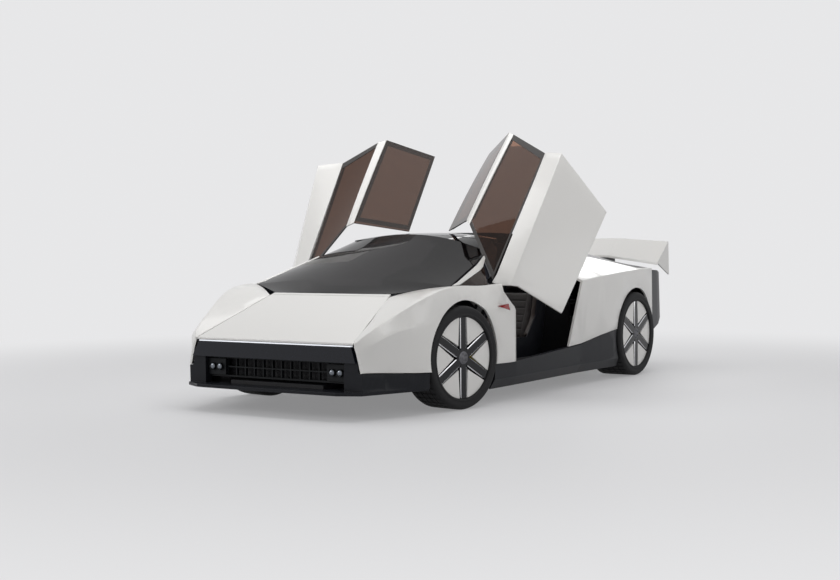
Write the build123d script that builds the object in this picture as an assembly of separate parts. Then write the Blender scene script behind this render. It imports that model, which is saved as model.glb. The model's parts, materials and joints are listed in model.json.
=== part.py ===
from build123d import *
from math import asin, atan2, cos, degrees, radians, sin
import os

os.makedirs("parts", exist_ok=True)

# Two-seat mid-motor supercar with butterfly doors. Millimetres; +X forward, +Y the car's left,
# +Z up. The origin is on the ground at the middle of the length and width.

# Driving dimensions
wheelbase = 2750
nose_overhang = 1000            # front axle to the splitter's lip
tail_overhang = 850             # rear axle to the diffuser's end
half_width = 988                # centre plane to the crease along the side
roof_height = 1222
ground_clearance = 95
tyre_radius = 355
rim_radius = 279.5
front_tyre_width = 265
rear_tyre_width = 315
wheel_inset = 8                 # tyre's outer face, inboard of the side crease
tyre_to_arch = 37
steer_at_rest = -9              # front wheels are turned to the right

# Sheet, glass and seam sizes
skin = 18                       # outer body panels
glass = 6
seam = 0.5                      # between panels fixed to one body
shut_gap = 6                    # round doors and lids
running_gap = 0.3               # at hinges, kingpins and hubs
door_thickness = 72             # inner panel behind the door's skin

# Door hinge: a slanted axis from the body side up to below the roof, on the left side
hinge_ahead = -588              # point on the axis, from the front axle
hinge_inset = 188
hinge_height = 806
hinge_direction = (0.499, 0.732, -0.464)
door_angle = 67.1

front_axle_x = (wheelbase + nose_overhang + tail_overhang) / 2 - nose_overhang
rear_axle_x = front_axle_x - wheelbase
arch_radius = tyre_radius + tyre_to_arch
axle_height = tyre_radius


def fx(ahead):
    """X of a place given from the front axle."""
    return front_axle_x + ahead


def rx(ahead):
    """X of a place given from the rear axle."""
    return rear_axle_x + ahead


def sy(inset):
    """Y of a place given inboard of the side crease."""
    return half_width - inset


def polygon(points):
    return Face(Wire.make_polygon([Vector(*p) for p in points], close=True))


def inward(points, depth):
    """Open outline moved by depth to the side that faces into the body."""
    normals = []
    for a, b in zip(points, points[1:]):
        along = Vector(b[0] - a[0], b[1] - a[1]).normalized()
        normals.append(Vector(along.Y, -along.X))
    moved = []
    for i, p in enumerate(points):
        n1 = normals[max(i - 1, 0)]
        n2 = normals[min(i, len(normals) - 1)]
        step = (n1 + n2) * (depth / (1 + n1.dot(n2)))
        moved.append((p[0] + step.X, p[1] + step.Y))
    return moved


def strip(x, points, depth, start=0):
    """Cross-section across the car: a bent strip from start to start + depth under its outline."""
    outer = inward(points, start) if start else points
    inner = inward(points, start + depth)
    return polygon([(x, y, z) for y, z in outer + inner[::-1]])


def side_prism(outline, y_low, y_high):
    """Side-view outline of (x, z) points, extruded across the car."""
    face = polygon([(x, y_low, z) for x, z in outline])
    return extrude(face, amount=y_high - y_low, dir=(0, 1, 0))


def plan_prism(outline, z_low, z_high):
    """Plan-view outline of (x, y) points, extruded upwards."""
    face = polygon([(x, y, z_low) for x, y in outline])
    return extrude(face, amount=z_high - z_low, dir=(0, 0, 1))


def block(x, y, z):
    """Box between the pairs x, y and z."""
    size = [abs(p[1] - p[0]) for p in (x, y, z)]
    middle = [(p[0] + p[1]) / 2 for p in (x, y, z)]
    return Pos(*middle) * Box(*size)


def panel(end_a, end_b, depth):
    """Straight-ruled sheet between two edges, each two points, thickened by the vector depth."""
    faces = []
    for first, second in (end_a, end_b):
        f, s, d = Vector(*first), Vector(*second), Vector(*depth)
        faces.append(polygon([tuple(f), tuple(s), tuple(s + d), tuple(f + d)]))
    return loft(faces, ruled=True)


def grown(outline, gap):
    """Side-view outline widened all round, as (x, z) points of a closed polygon."""
    flat = Face(Wire.make_polygon([Vector(x, z, 0) for x, z in outline], close=True))
    wide = offset(flat, amount=gap, kind=Kind.INTERSECTION)
    wire = wide.faces()[0].outer_wire()
    return [(v.X, v.Y) for v in [e.position_at(0) for e in wire.order_edges()]]


def across(shape):
    return mirror(shape, about=Plane.XZ)


def both(shape):
    return [shape, across(shape)]


def keep(name, *shapes):
    """Write one sub-part; its solids don't touch each other."""
    solids = [s for shape in shapes for s in shape.solids()]
    export_step(solids[0] if len(solids) == 1 else Compound(solids), f"parts/{name}.step")


# Body side. Columns: x, then inset and height of the inner top edge, the crown, the side crease
# and the lower edge.
side_rows = {
    "nose": (fx(895), 308, 497, 296, 500, 273, 440, 239, 311),
    "lamp": (fx(725), 350, 576, 211, 616, 143, 545, 178, 303),
    "shoulder": (fx(525), 399, 665, 141, 714, 88, 585, 98, 290),
    "ahead_of_wheel": (fx(325), 448, 755, 79, 797, 43, 598, 30, 283),
    "front_axle": (fx(0), 440, 832, 56, 845, 3, 645, 3, 283),
    "behind_wheel": (fx(-375), 288, 838, 52, 838, 0, 668, 5, 283),
    "door_front": (fx(-675), 110, 824, 80, 819, 1, 712, 4, 283),
    "door_rear": (rx(996), 226, 925, 204, 917, 13, 835, 33, 338),
    "shoulder_front": (rx(675), 275, 960, 228, 945, 8, 862, 23, 385),
    "shoulder_wide": (rx(275), 368, 1020, 288, 990, 8, 888, 13, 430),
    "shoulder_tip": (rx(-125), 70, 912, 52, 910, 22, 905, 23, 455),
    "quarter_end": (rx(-405), 96, 908, 84, 908, 58, 903, 55, 470),
}


def side_points(name):
    row = side_rows[name]
    return [(sy(row[i]), row[i + 1]) for i in (1, 3, 5, 7)]


def side_sheet(names, depth, start=0, ruled=True, first=0):
    """Sheet through the named rows, from the point number first in each outline."""
    faces = [strip(side_rows[n][0], side_points(n)[first:], depth, start) for n in names]
    return loft(faces, ruled=ruled)


def rod(start, end, radius):
    """Round bar between two points."""
    a, b = Vector(*start), Vector(*end)
    return extrude(Plane(origin=tuple(a), z_dir=tuple(b - a)) * Circle(radius), amount=(b - a).length)


def arch(axle_x):
    """Round cut for a wheel arch on the left side."""
    inner = half_width - 700
    return Pos(axle_x, inner + 500, axle_height) * Rot(90, 0, 0) * Cylinder(arch_radius, 1000)


# Door outline in side view, from the lower front corner up and round to the lower rear corner
door_outline = [
    (fx(-647), 200), (fx(-651), 655), (fx(-600), 770), (fx(-600), 900),
    (rx(992), 960), (rx(996), 905), (rx(1021), 833), (rx(1230), 330), (rx(1240), 200),
]
# The fender stands further back at its top, where the door's corner swings past it
fender_edge = [
    (fx(-647), 200), (fx(-651), 655), (fx(-522), 790), (fx(-505), 950), (fx(-1000), 950),
    (fx(-1000), 200)]

# Front fenders, from the nose to the door and up to the windshield's and side glass's lower edges
hood_front_x = fx(895)
hood_rear_x = fx(275)
cowl_rear_x = fx(245)
glass_tip = (fx(25), sy(110), 841)
fender = side_sheet(
    ["nose", "lamp", "shoulder", "ahead_of_wheel", "front_axle", "behind_wheel", "door_front"],
    skin, ruled=False)
fender -= arch(front_axle_x)
fender -= side_prism(grown(fender_edge, shut_gap), sy(500), sy(-50))
marker_outline = [(fx(-405), 690), (fx(-560), 652), (fx(-545), 700)]
marker_pocket = 14
fender -= side_prism(grown(marker_outline, seam), sy(marker_pocket), sy(-50))
cabin_plan = [
    (cowl_rear_x + 40, 0), (cowl_rear_x + 40, sy(462)), (glass_tip[0] + 5, glass_tip[1] + 5),
    (fx(-668), sy(75)), (fx(-800), sy(75)), (fx(-800), 0),
]
fender -= plan_prism(cabin_plan, 500, 1100)
keep("front_fenders", *both(fender))

# Rear quarters, from the door to the tail
quarter = side_sheet(
    ["door_rear", "shoulder_front", "shoulder_wide", "shoulder_tip", "quarter_end"], skin)
low_quarter = side_sheet(["door_front", "door_rear"], skin)
quarter = quarter + (low_quarter & side_prism(
    [(rx(1300), 200), (rx(996), 200), (rx(996), 960), (rx(1300), 960)], sy(500), sy(-50)))
quarter -= arch(rear_axle_x)
quarter -= side_prism(grown(door_outline, shut_gap), sy(500), sy(-50))
keep("rear_quarters", *both(quarter))


# Hood and the strip behind it; both lie in the plane of the windshield's foot
hood_front_z, cowl_rear_z = 500, 790
hood_front_half, cowl_rear_half = sy(308), sy(465)
hood_slope = (cowl_rear_z - hood_front_z) / (hood_front_x - cowl_rear_x)
front_lid_depth = 14


def hood_z(x):
    """Height of the hood's plane."""
    return hood_front_z + (hood_front_x - x) * hood_slope


def hood_sheet(x_front, x_rear, gap, depth):
    """Flat sheet between the two fenders' inner edges."""
    faces = []
    for x in (x_front, x_rear):
        t = (hood_front_x - x) / (hood_front_x - cowl_rear_x)
        y = hood_front_half + t * (cowl_rear_half - hood_front_half) - gap
        z = hood_z(x)
        faces.append(polygon([(x, -y, z), (x, y, z), (x, y, z - depth), (x, -y, z - depth)]))
    return loft(faces, ruled=True)


hood = hood_sheet(hood_front_x, hood_rear_x, shut_gap, front_lid_depth)
keep("hood", hood)

# The cowl carries a lip under each end of the hood's hinge line
cowl_depth = 60
hinge_side = 300
hinge_lip = 8
hinge_lip_half = 30
hinge_lip_sheet = 16
cowl_front_x = hood_rear_x - shut_gap
cowl = hood_sheet(cowl_front_x, cowl_rear_x, shut_gap, cowl_depth)
lip_top = hood_z(hood_rear_x + hinge_lip) - front_lid_depth - running_gap
for y in (-hinge_side, hinge_side):
    cowl += block((cowl_front_x - 10, hood_rear_x + hinge_lip), (y - hinge_lip_half, y + hinge_lip_half),
                  (lip_top - hinge_lip_sheet, lip_top))
keep("cowl", cowl)

# Windshield and roof. Columns: x, half width, height at the side, height at the centre.
glass_rows = [
    (cowl_rear_x - seam, sy(465), 789, 792),
    (fx(25), sy(110), 841, 888),
    (fx(-445), sy(188), 994, 1097),
    (fx(-695), sy(268), roof_height - 141, roof_height - 14),
    (fx(-925), sy(338), roof_height - 56, roof_height - 3),
]
roof_rows = [
    glass_rows[-1],
    (fx(-1375), sy(378), roof_height - 46, roof_height),
    (rx(875), sy(432), roof_height - 52, roof_height),
    (rx(790), sy(452), roof_height - 60, roof_height - 3),
]
roof_apex_x = fx(-705)
pillar_width = 58
frame_depth = 34
glass_tuck = 20                 # glass and frame end inboard of the painted pillars


def arched(rows, start, depth, narrow=0):
    """Sheet through cross-sections that are arcs over the centre line."""
    faces = []
    for x, half, side, centre in rows:
        half = half - narrow
        edges = []
        for drop in (start, start + depth):
            edges.append(ThreePointArc((x, -half, side - drop), (x, 0, centre - drop),
                                       (x, half, side - drop)))
        edges.append(Line((x, -half, side - start), (x, -half, side - start - depth)))
        edges.append(Line((x, half, side - start), (x, half, side - start - depth)))
        faces.append(Face(Wire(edges)))
    return loft(faces, ruled=True)


behind_header = plan_prism(
    [(roof_apex_x, 0), (fx(-925), sy(330)), (fx(-1000), sy(200)), (fx(-1000), -sy(200)),
     (fx(-925), -sy(330))], 900, 1400)
windshield = arched(glass_rows, 0, glass, narrow=glass_tuck) - behind_header
keep("windshield", windshield)

# Roof frame: pillars and header under the glass, spine between the doors' roof glass, rear hoop
clear_view = plan_prism(
    [(cowl_rear_x - pillar_width, 0), (cowl_rear_x - pillar_width, sy(510)),
     (fx(-20), sy(110) - pillar_width - 12), (fx(-445), sy(188) - pillar_width),
     (fx(-695), sy(268) - pillar_width), (fx(-860), sy(338) - pillar_width),
     (roof_apex_x + 40, 0), (fx(-860), -sy(338) + pillar_width),
     (fx(-695), -sy(268) + pillar_width), (fx(-445), -sy(188) + pillar_width),
     (fx(-20), -sy(110) + pillar_width + 12), (cowl_rear_x - pillar_width, -sy(510))], 600, 1400)
under_glass = arched(glass_rows, glass + seam, frame_depth, narrow=glass_tuck) - clear_view
header = (arched(glass_rows, 0, frame_depth) & behind_header)
roof = arched(roof_rows, 0, frame_depth)
spine_front = 184
spine_rear = 70
roof_front_x = fx(-1037)
roof_rear_x = rx(915)
roof_corner_x = fx(-985)
roof_hole = plan_prism(
    [(roof_front_x, spine_front), (roof_corner_x, sy(357)), (fx(-950), sy(300)), (fx(-950), sy(200)),
     (rx(862), sy(400)), (rx(862), sy(488)), (roof_rear_x, spine_rear)], 900, 1400)
for hole in both(roof_hole):
    roof -= hole
roof_frame = under_glass + header + roof
keep("roof_frame", roof_frame)

# Doors, built closed on the left side
closed_front_low = (fx(-626), sy(90), 828)
rail_front = (fx(-985), sy(306), roof_height - 77)
rail_rear = (rx(894), sy(432), roof_height - 52)
belt_rear_point = (rx(1000), sy(204), 917)
roof_outer_front = (fx(-1018), sy(357), roof_height - 49)
roof_outer_rear = (rx(868), sy(494), roof_height - 21)
roof_inner_front = (roof_front_x - shut_gap, spine_front + shut_gap, roof_height - 10)
roof_inner_rear = (roof_rear_x + shut_gap, spine_rear + shut_gap, roof_height - 2)


def on_quad(quad, along, up):
    """Point on a four-cornered sheet: lower front, lower rear, upper rear, upper front."""
    low = Vector(*quad[0]) * (1 - along) + Vector(*quad[1]) * along
    high = Vector(*quad[3]) * (1 - along) + Vector(*quad[2]) * along
    return low * (1 - up) + high * up


def inner_quad(quad, front, rear, low, high):
    """The quad with a margin in millimetres taken off each side."""
    length = (Vector(*quad[1]) - Vector(*quad[0])).length
    height = (on_quad(quad, 0.5, 1) - on_quad(quad, 0.5, 0)).length
    a, b, c, d = front / length, 1 - rear / length, low / height, 1 - high / height
    return [tuple(on_quad(quad, u, v)) for u, v in ((a, c), (b, c), (b, d), (a, d))]


def quad_sheet(quad, start, depth, rise=0):
    """Sheet on a quad, from start to start + depth inside its outer face, bowed out by rise."""
    across_it = (Vector(*quad[2]) - Vector(*quad[0])).cross(Vector(*quad[3]) - Vector(*quad[1]))
    out = across_it.normalized()
    faces = []
    for u, bow in ((0, 0), (0.5, rise), (1, 0)):
        if u == 0.5 and not rise:
            continue
        ends = [on_quad(quad, u, 0) + out * bow, on_quad(quad, u, 1) + out * bow]
        corners = [ends[0] - out * start, ends[1] - out * start,
                   ends[1] - out * (start + depth), ends[0] - out * (start + depth)]
        faces.append(polygon([tuple(c) for c in corners]))
    return loft(faces, ruled=not rise)


roof_bow = 8
frame_sheet = 18
frame_lip = 9                   # thin edge that swings past the fixed glass
frame_setback = 34
rail_skin = 8
side_quad = [closed_front_low, belt_rear_point, rail_rear, rail_front]
rail_quad = [rail_front, rail_rear, roof_outer_rear, roof_outer_front]
roof_quad = [roof_outer_front, roof_outer_rear, roof_inner_rear, roof_inner_front]
window_quad = inner_quad(side_quad, 46, 60, 16, 6)

door_skin = side_sheet(["behind_wheel", "door_front", "door_rear", "shoulder_front"], skin, first=1)
door_skin &= side_prism(door_outline, sy(500), sy(-50))
rail = quad_sheet(rail_quad, 0, rail_skin, roof_bow)

card_drop = 30


def card_section(name):
    """Cross-section of the door's inner panel, behind the skin."""
    row = side_points(name)[1:]
    outer = inward(row, skin + seam)
    belt, crease, low = outer
    back = crease[0] - door_thickness
    section = [(belt[0], belt[1] - 4), crease, low, (low[0] - door_thickness, low[1]),
               (back, crease[1] - card_drop), (belt[0] - 26, belt[1] - 4)]
    return polygon([(side_rows[name][0], y, z) for y, z in section])


card = loft([card_section(n) for n in ("door_front", "door_rear", "shoulder_front")], ruled=True)
card_outline = [
    (fx(-677), 300), (fx(-677), 900), (rx(1010), 940), (rx(1035), 833), (rx(1240), 345), (rx(1245), 300),
]
card &= side_prism(card_outline, sy(600), sy(-50))
window_frame = quad_sheet(side_quad, 0, frame_lip)
window_frame -= quad_sheet(window_quad, -20, frame_lip + 60)
rail_core = quad_sheet(rail_quad, rail_skin + seam, frame_sheet, roof_bow)
roof_ring = quad_sheet(roof_quad, rail_skin + seam, frame_sheet, roof_bow)
roof_opening = inner_quad(roof_quad, frame_setback + 30, 36, 30, 26)
roof_ring -= quad_sheet(roof_opening, -20, frame_sheet + 60, roof_bow)
roof_core = (rail_core + roof_ring) & plan_prism(
    [(rail_front[0] - frame_setback, 2000), (roof_outer_front[0] - frame_setback, rail_front[1] - 40),
     (roof_inner_front[0] - frame_setback, 0), (rear_axle_x, 0), (rear_axle_x, 2000)], 900, 1400)
door_inner = card + window_frame + roof_core - rail
side_window = quad_sheet(inner_quad(window_quad, seam, seam, seam, seam), 2, glass)
roof_window = quad_sheet(inner_quad(roof_quad, 0, 0, 3, 0), 0, rail_skin, roof_bow)

hinge_point = (fx(hinge_ahead), sy(hinge_inset), hinge_height)
hinge = Axis(hinge_point, hinge_direction)
boss_radius = 22
boss_length = 50
socket_length = 24
bracket_sheet = 28
arm_radius = 11


def on_hinge(along):
    """Point on the hinge's axis, along it from the door's boss."""
    return tuple(Vector(*hinge_point) + Vector(*hinge_direction) * along)


# The door turns on a boss that an arm carries, ahead of its inner panel's upper corner
door_inner += rod(on_hinge(-boss_length / 2), on_hinge(boss_length / 2), boss_radius)
door_inner += rod(hinge_point, (fx(-695), sy(96), 768), arm_radius)


def opened(shape):
    return shape.rotate(hinge, door_angle)


for side, place in (("left", lambda s: s), ("right", across)):
    keep(f"door_panels_{side}", place(opened(door_skin)), place(opened(rail)))
    keep(f"door_inner_{side}", place(opened(door_inner)))
    keep(f"door_glass_{side}", place(opened(side_window)), place(opened(roof_window)))

# Fixed side pieces ahead of the door: painted pillar band, small quarter glass below it, and a
# recessed post that the open door's edge swings over.
# Columns: x, then inset and height of the upper and of the lower edge.
pillar_rows = [
    (fx(15), 106, 849, 105, 844), (fx(-70), 120, 874, 104, 852), (fx(-415), 174, 984, 153, 943),
    (fx(-485), 194, 1008, 172, 967), (fx(-590), 226, 1045, 216, 1027)]
quarter_glass_rows = [
    (fx(-72), 103, 851, 100, 844), (fx(-415), 152, 942, 95, 841), (fx(-483), 171, 966, 163, 952)]
post_rows = [
    (fx(-423), 186, 986, 95, 840), (fx(-490), 200, 1008, 120, 885), (fx(-640), 250, 1058, 160, 935),
    (fx(-900), 330, 1157, 286, 1098)]
post_recess = 18


def side_strips(rows, start, depth):
    faces = [strip(x, [(sy(i1), z1), (sy(i2), z2)], depth, start) for x, i1, z1, i2, z2 in rows]
    return loft(faces, ruled=True)


keep("pillars", *both(side_strips(pillar_rows, 0, 14)))
keep("quarter_glass", *both(side_strips(quarter_glass_rows, 0, glass)))
keep("door_posts", *both(side_strips(post_rows, post_recess, 14) - roof_frame))

# Engine deck between hoop and tail, with the lid in its middle.
# Columns: x, height at the centre, then width and height of the break and of the outer edge.
hoop_x = rx(783)


def shoulder_edge(x, ahead, behind):
    """Inner top edge of the quarter at x, between two of its rows: y and z."""
    a, b = side_rows[ahead], side_rows[behind]
    t = (a[0] - x) / (a[0] - b[0])
    return sy(a[1] + t * (b[1] - a[1])), a[2] + t * (b[2] - a[2])


deck_rows = [
    (hoop_x, roof_height, sy(488), 1180, *shoulder_edge(hoop_x, "door_rear", "shoulder_front")),
    (rx(675), 1207, sy(505), 1163, *shoulder_edge(rx(675), "door_rear", "shoulder_front")),
    (rx(275), 1135, sy(560), 1095, *shoulder_edge(rx(275), "shoulder_front", "shoulder_wide")),
    (rx(-125), 1040, sy(430), 1005, *shoulder_edge(rx(-125), "shoulder_wide", "shoulder_tip")),
    (rx(-405), 972, sy(400), 955, *shoulder_edge(rx(-405), "shoulder_tip", "quarter_end")),
]
deck_skin = 20


def deck_sheet(start, depth):
    faces = []
    for x, centre, break_y, break_z, edge_y, edge_z in deck_rows:
        half = [(0, centre), (break_y, break_z), (edge_y - seam, edge_z)]
        outer = [(-y, z) for y, z in half[:0:-1]] + half
        faces.append(strip(x, outer, depth, start))
    return loft(faces, ruled=True)


deck = deck_sheet(0, deck_skin)
lid_front_x = rx(700)
lid_rear_x = rx(-60)
lid_half = 400
lid = deck & block((lid_rear_x, lid_front_x), (-lid_half, lid_half), (800, 1300))
deck -= block((lid_rear_x - shut_gap, lid_front_x + shut_gap),
              (-lid_half - shut_gap, lid_half + shut_gap), (800, 1300))
lid_lip = deck_sheet(deck_skin + running_gap, 12)
lid_ear = deck_sheet(deck_skin / 2, deck_skin / 2 + 12)
for y in (-hinge_side, hinge_side):
    deck += lid_lip & block((lid_front_x - 12, lid_front_x + 30), (y - 30, y + 30), (900, 1300))
    deck += lid_ear & block((lid_front_x + shut_gap, lid_front_x + 30), (y - 30, y + 30), (900, 1300))
keep("rear_deck", deck)
slot_count = 6
slot_pitch = 80
slot_length = 38
slot_half = 290
for i in range(slot_count):
    x = lid_rear_x + 150 + i * slot_pitch
    lid -= block((x, x + slot_length), (-slot_half, -20), (800, 1300))
    lid -= block((x, x + slot_length), (20, slot_half), (800, 1300))
keep("rear_lid", lid)

# Wing: a steep blade with a flat middle, drooping outer panels and end plates.
# Columns: y, height of the leading edge, height of the trailing edge.
wing_lead_x = rx(-525)
wing_trail_x = rx(-768)
wing_sheet = 20
wing_rows = [(sy(58), 950, 1138), (sy(546), 1018, 1172), (-sy(546), 1018, 1172), (-sy(58), 950, 1138)]
wing_faces = []
for y, lead_z, trail_z in wing_rows:
    wing_faces.append(polygon([(wing_lead_x, y, lead_z), (wing_trail_x, y, trail_z),
                               (wing_trail_x, y, trail_z - wing_sheet),
                               (wing_lead_x + 4, y, lead_z - wing_sheet)]))
wing = loft(wing_faces, ruled=True)
end_plate = side_prism(
    [(wing_lead_x, 950), (wing_trail_x, 1138), (wing_trail_x - 12, 840)], sy(72), sy(58))
wing += end_plate + across(end_plate)
keep("rear_wing", wing)

# Tail: closed body behind the rear wheels, with the pedestal that carries the wing
tail_front_x = rx(-405) - seam
tail_rear_x = rx(-805)
tail_rows = [                   # x, then inset and height of the top and of the lower edge
    (tail_front_x, 88, 892, 78, 330), (rx(-700), 138, 880, 128, 400), (tail_rear_x, 168, 860, 158, 450)]
tail_faces = []
for x, top_inset, top_z, low_inset, low_z in tail_rows:
    tail_faces.append(polygon([(x, -sy(top_inset), top_z), (x, sy(top_inset), top_z),
                               (x, sy(low_inset), low_z), (x, -sy(low_inset), low_z)]))
tail = loft(tail_faces, ruled=True)
pedestal_half = 400
pedestal = side_prism(
    [(rx(-480), 860), (rx(-480), 930), (wing_lead_x + 6, 1018 - wing_sheet - 2),
     (wing_trail_x + 20, 1172 - wing_sheet - 16), (rx(-790), 860)], -pedestal_half, pedestal_half)
lamp_low, lamp_high = 742, 776
lamp_back_x = tail_rear_x + 30
lamp_half = sy(218)
lamp_slot = block((tail_rear_x - 10, lamp_back_x), (-lamp_half, lamp_half), (lamp_low, lamp_high))
tow_bore_radius = 8
tow_bore_length = 60
tow_height = 520
tow_side = 480
tow_hole = Pos(tail_rear_x + tow_bore_length / 2, tow_side, tow_height) * Rot(0, 90, 0) * Cylinder(
    tow_bore_radius, tow_bore_length)
tail = tail + pedestal - lamp_slot - tow_hole
vent_count = 4
vent_pitch = 34
vent_height = 20
vent_half = 420
vent_depth = 40
for i in range(vent_count):
    z = 560 + i * vent_pitch
    tail -= block((tail_rear_x - 10, tail_rear_x + vent_depth), (-vent_half, vent_half), (z, z + vent_height))
keep("tail_panel", tail)
tail_lamp = block((tail_rear_x + 5, lamp_back_x - seam), (-lamp_half + 1, lamp_half - 1),
                  (lamp_low + seam, lamp_high - seam))
keep("tail_lamps", tail_lamp)

# Diffuser below the tail: rising plate, upright fins, and side walls up to the tail
diffuser_half = sy(300)
diffuser_tip_x = rx(-tail_overhang)
diffuser_sheet = 30
plate_front_z, plate_rear_z = 120, 270
diffuser = side_prism(
    [(tail_front_x, plate_front_z), (diffuser_tip_x + 5, plate_rear_z),
     (diffuser_tip_x, plate_rear_z + diffuser_sheet), (tail_front_x, plate_front_z + diffuser_sheet)],
    -diffuser_half, diffuser_half)
fin_count = 6
fin_sheet = 10
fin_front_x = tail_front_x - 15
fin_profile = [(fin_front_x, 105), (diffuser_tip_x + 15, 165), (diffuser_tip_x + 8, 290), (fin_front_x, 140)]
for i in range(fin_count):
    y = -diffuser_half + (2 * diffuser_half - fin_sheet) * i / (fin_count - 1)
    diffuser += side_prism(fin_profile, y, y + fin_sheet)
wall_profile = [(tail_front_x, 130), (tail_front_x, 329), (rx(-700), 399), (rx(-800), 445),
                (diffuser_tip_x + 4, 290), (diffuser_tip_x + 15, 270)]
for y in (-diffuser_half, -20, diffuser_half - fin_sheet):
    diffuser += side_prism(wall_profile, y, y + fin_sheet)
keep("diffuser", diffuser)

# Nose: gloss band below the hood, grille in the opening, splitter that wraps round the corners
nose_tip_x = fx(nose_overhang)
band_low, band_high = 372, 476
band_half_top, band_half_low = sy(330), sy(284)
band = loft([
    polygon([(fx(858), -band_half_top, band_high), (fx(897), -band_half_top, band_high),
             (fx(897), band_half_top, band_high), (fx(858), band_half_top, band_high)]),
    polygon([(fx(858), -band_half_low, band_low), (fx(915), -band_half_low, band_low),
             (fx(915), band_half_low, band_low), (fx(858), band_half_low, band_low)])], ruled=True)
keep("nose_panel", band)
strip_half = band_half_top - 4
strip_bar = block((fx(872), fx(897)), (-strip_half, strip_half), (band_high + seam, band_high + 7))
keep("light_strip", strip_bar)
opening_low, opening_half = 232, sy(390) - seam
splitter_low, splitter_sheet = 165, 22
grille_rear_x, grille_front_x = fx(820), fx(850)
grille_border = 14
grille_frame = block((grille_rear_x, grille_front_x), (-opening_half, opening_half), (opening_low, band_low - seam))
grille_frame -= block(
    (grille_rear_x - 10, grille_front_x + 10), (-opening_half + grille_border, opening_half - grille_border),
    (opening_low + grille_border - 2, band_low - grille_border + 2))
bar_count = 15
for i in range(1, bar_count):
    y = -opening_half + 2 * opening_half * i / bar_count
    grille_frame += block((fx(824), fx(846)), (y - 4, y + 4), (opening_low + 5, band_low - 5))
grille_frame += block((fx(822), fx(848)), (-opening_half + 5, opening_half - 5), (298, 306))
keep("intake_grille", grille_frame)
pod_back_x = grille_front_x + running_gap
pod_sheet = 14
pod_width = 157.5
pod_rim_low, pod_rim_high = 14, 16
lens_radius = 25
lens_length = 18
lens_sunk = 3
lens_insets = (111.5, 47.5)     # from the opening's end
lens_height = (opening_low + band_low) / 2
pod = block((pod_back_x, pod_back_x + pod_sheet), (opening_half - pod_width, opening_half),
            (opening_low + pod_rim_low, band_low - pod_rim_high))
for inset in lens_insets:
    pod += Pos(pod_back_x + pod_sheet - lens_sunk + lens_length / 2, opening_half - inset,
               lens_height) * Rot(0, 90, 0) * Cylinder(lens_radius, lens_length)
keep("headlamps", *both(pod))
splitter_plan = [
    (nose_tip_x, 0), (nose_tip_x, 0.1), (fx(985), sy(390)), (fx(905), sy(238)), (fx(525), sy(104)),
    (fx(402), sy(60)), (fx(402), sy(570)), (fx(402), 0)]
splitter = plan_prism(splitter_plan, splitter_low, splitter_low + splitter_sheet)
side_wall = loft([
    strip(x, [(sy(inset), z - seam), (sy(inset + 2), splitter_low + 10)], 30)
    for x, inset, z in (
        (side_rows["nose"][0], 242, 306), (side_rows["lamp"][0], 182, 297),
        (side_rows["shoulder"][0], 102, 285), (fx(402), 52, 279))], ruled=True)
corner_block = panel(((fx(895), sy(270), 320), (fx(895), sy(390), 320)),
                     ((fx(895), sy(270), 185), (fx(895), sy(390), 185)), (-60, 0, 0))
corner_top = block((fx(850), fx(893)), (sy(388), sy(277)), (315, band_low - seam))
half_splitter = splitter + side_wall + corner_block + corner_top
splitter_all = half_splitter + across(half_splitter)
keep("front_splitter", splitter_all)

# Sills: dark skirts below doors and quarters
sill = loft([
    strip(side_rows[n][0], [(sy(i1), z1), (sy(i1 + 6), 170), (sy(i1 + 50), ground_clearance + 5)], 40)
    for n, i1, z1 in (("behind_wheel", 10, 277), ("door_front", 9, 277), ("door_rear", 36, 329),
                      ("shoulder_front", 28, 380))], ruled=True)
sill_rear = loft([
    strip(side_rows[n][0], [(sy(i1), z1), (sy(i1 + 6), 170), (sy(i1 + 50), ground_clearance + 5)], 40)
    for n, i1, z1 in (("shoulder_front", 28, 380), ("shoulder_wide", 18, 425))], ruled=True)
sill_web = block((rx(440), fx(-420)), (sy(160) + seam, sy(40)), (205, 225))
sill = sill + sill_rear + sill_web - arch(rear_axle_x) - arch(front_axle_x)
keep("sills", *both(sill))


# Tub: floor, sill beams, firewall, rear wall, jack pads and the brackets of the door hinges
floor_sheet = 30
wall_sheet = 20
floor_top = ground_clearance + floor_sheet
floor_front_x, floor_rear_x = fx(-420), rx(440)
firewall_sheet = 40
firewall_top = 600
tub_half = sy(160)
beam_width = 70
tub = block((floor_rear_x, floor_front_x), (-tub_half, tub_half), (ground_clearance, floor_top))
for side in (-1, 1):
    tub += block((floor_rear_x, floor_front_x), (side * tub_half, side * (tub_half - beam_width)),
                 (floor_top - 5, 262))
tub += block((floor_front_x - firewall_sheet, floor_front_x), (-tub_half, tub_half),
             (floor_top - 5, firewall_top))
rear_wall = polygon([
    (rx(700), -sy(290), ground_clearance), (rx(700), sy(290), ground_clearance), (rx(700), sy(290), 900),
    (rx(700), sy(490), 1110), (rx(700), -sy(490), 1110), (rx(700), -sy(290), 900)])
tub += extrude(rear_wall, amount=35, dir=(1, 0, 0))
socket_start = -boss_length / 2 - running_gap
hinge_socket = rod(on_hinge(socket_start), on_hinge(socket_start - socket_length), boss_radius)
bracket_y = on_hinge(socket_start + running_gap - socket_length)[1]
hinge_bracket = side_prism(
    [(floor_front_x - 20, 450), (floor_front_x - 20, firewall_top), (hinge_point[0] + 8, hinge_height + 24),
     (hinge_point[0] - 32, hinge_height + 24), (hinge_point[0] - 32, hinge_height - 16)],
    bracket_y - bracket_sheet, bracket_y)
for bracket in both(hinge_socket + hinge_bracket):
    tub += bracket
jack_pad_half = 35
jack_pad_drop = 8
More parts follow.
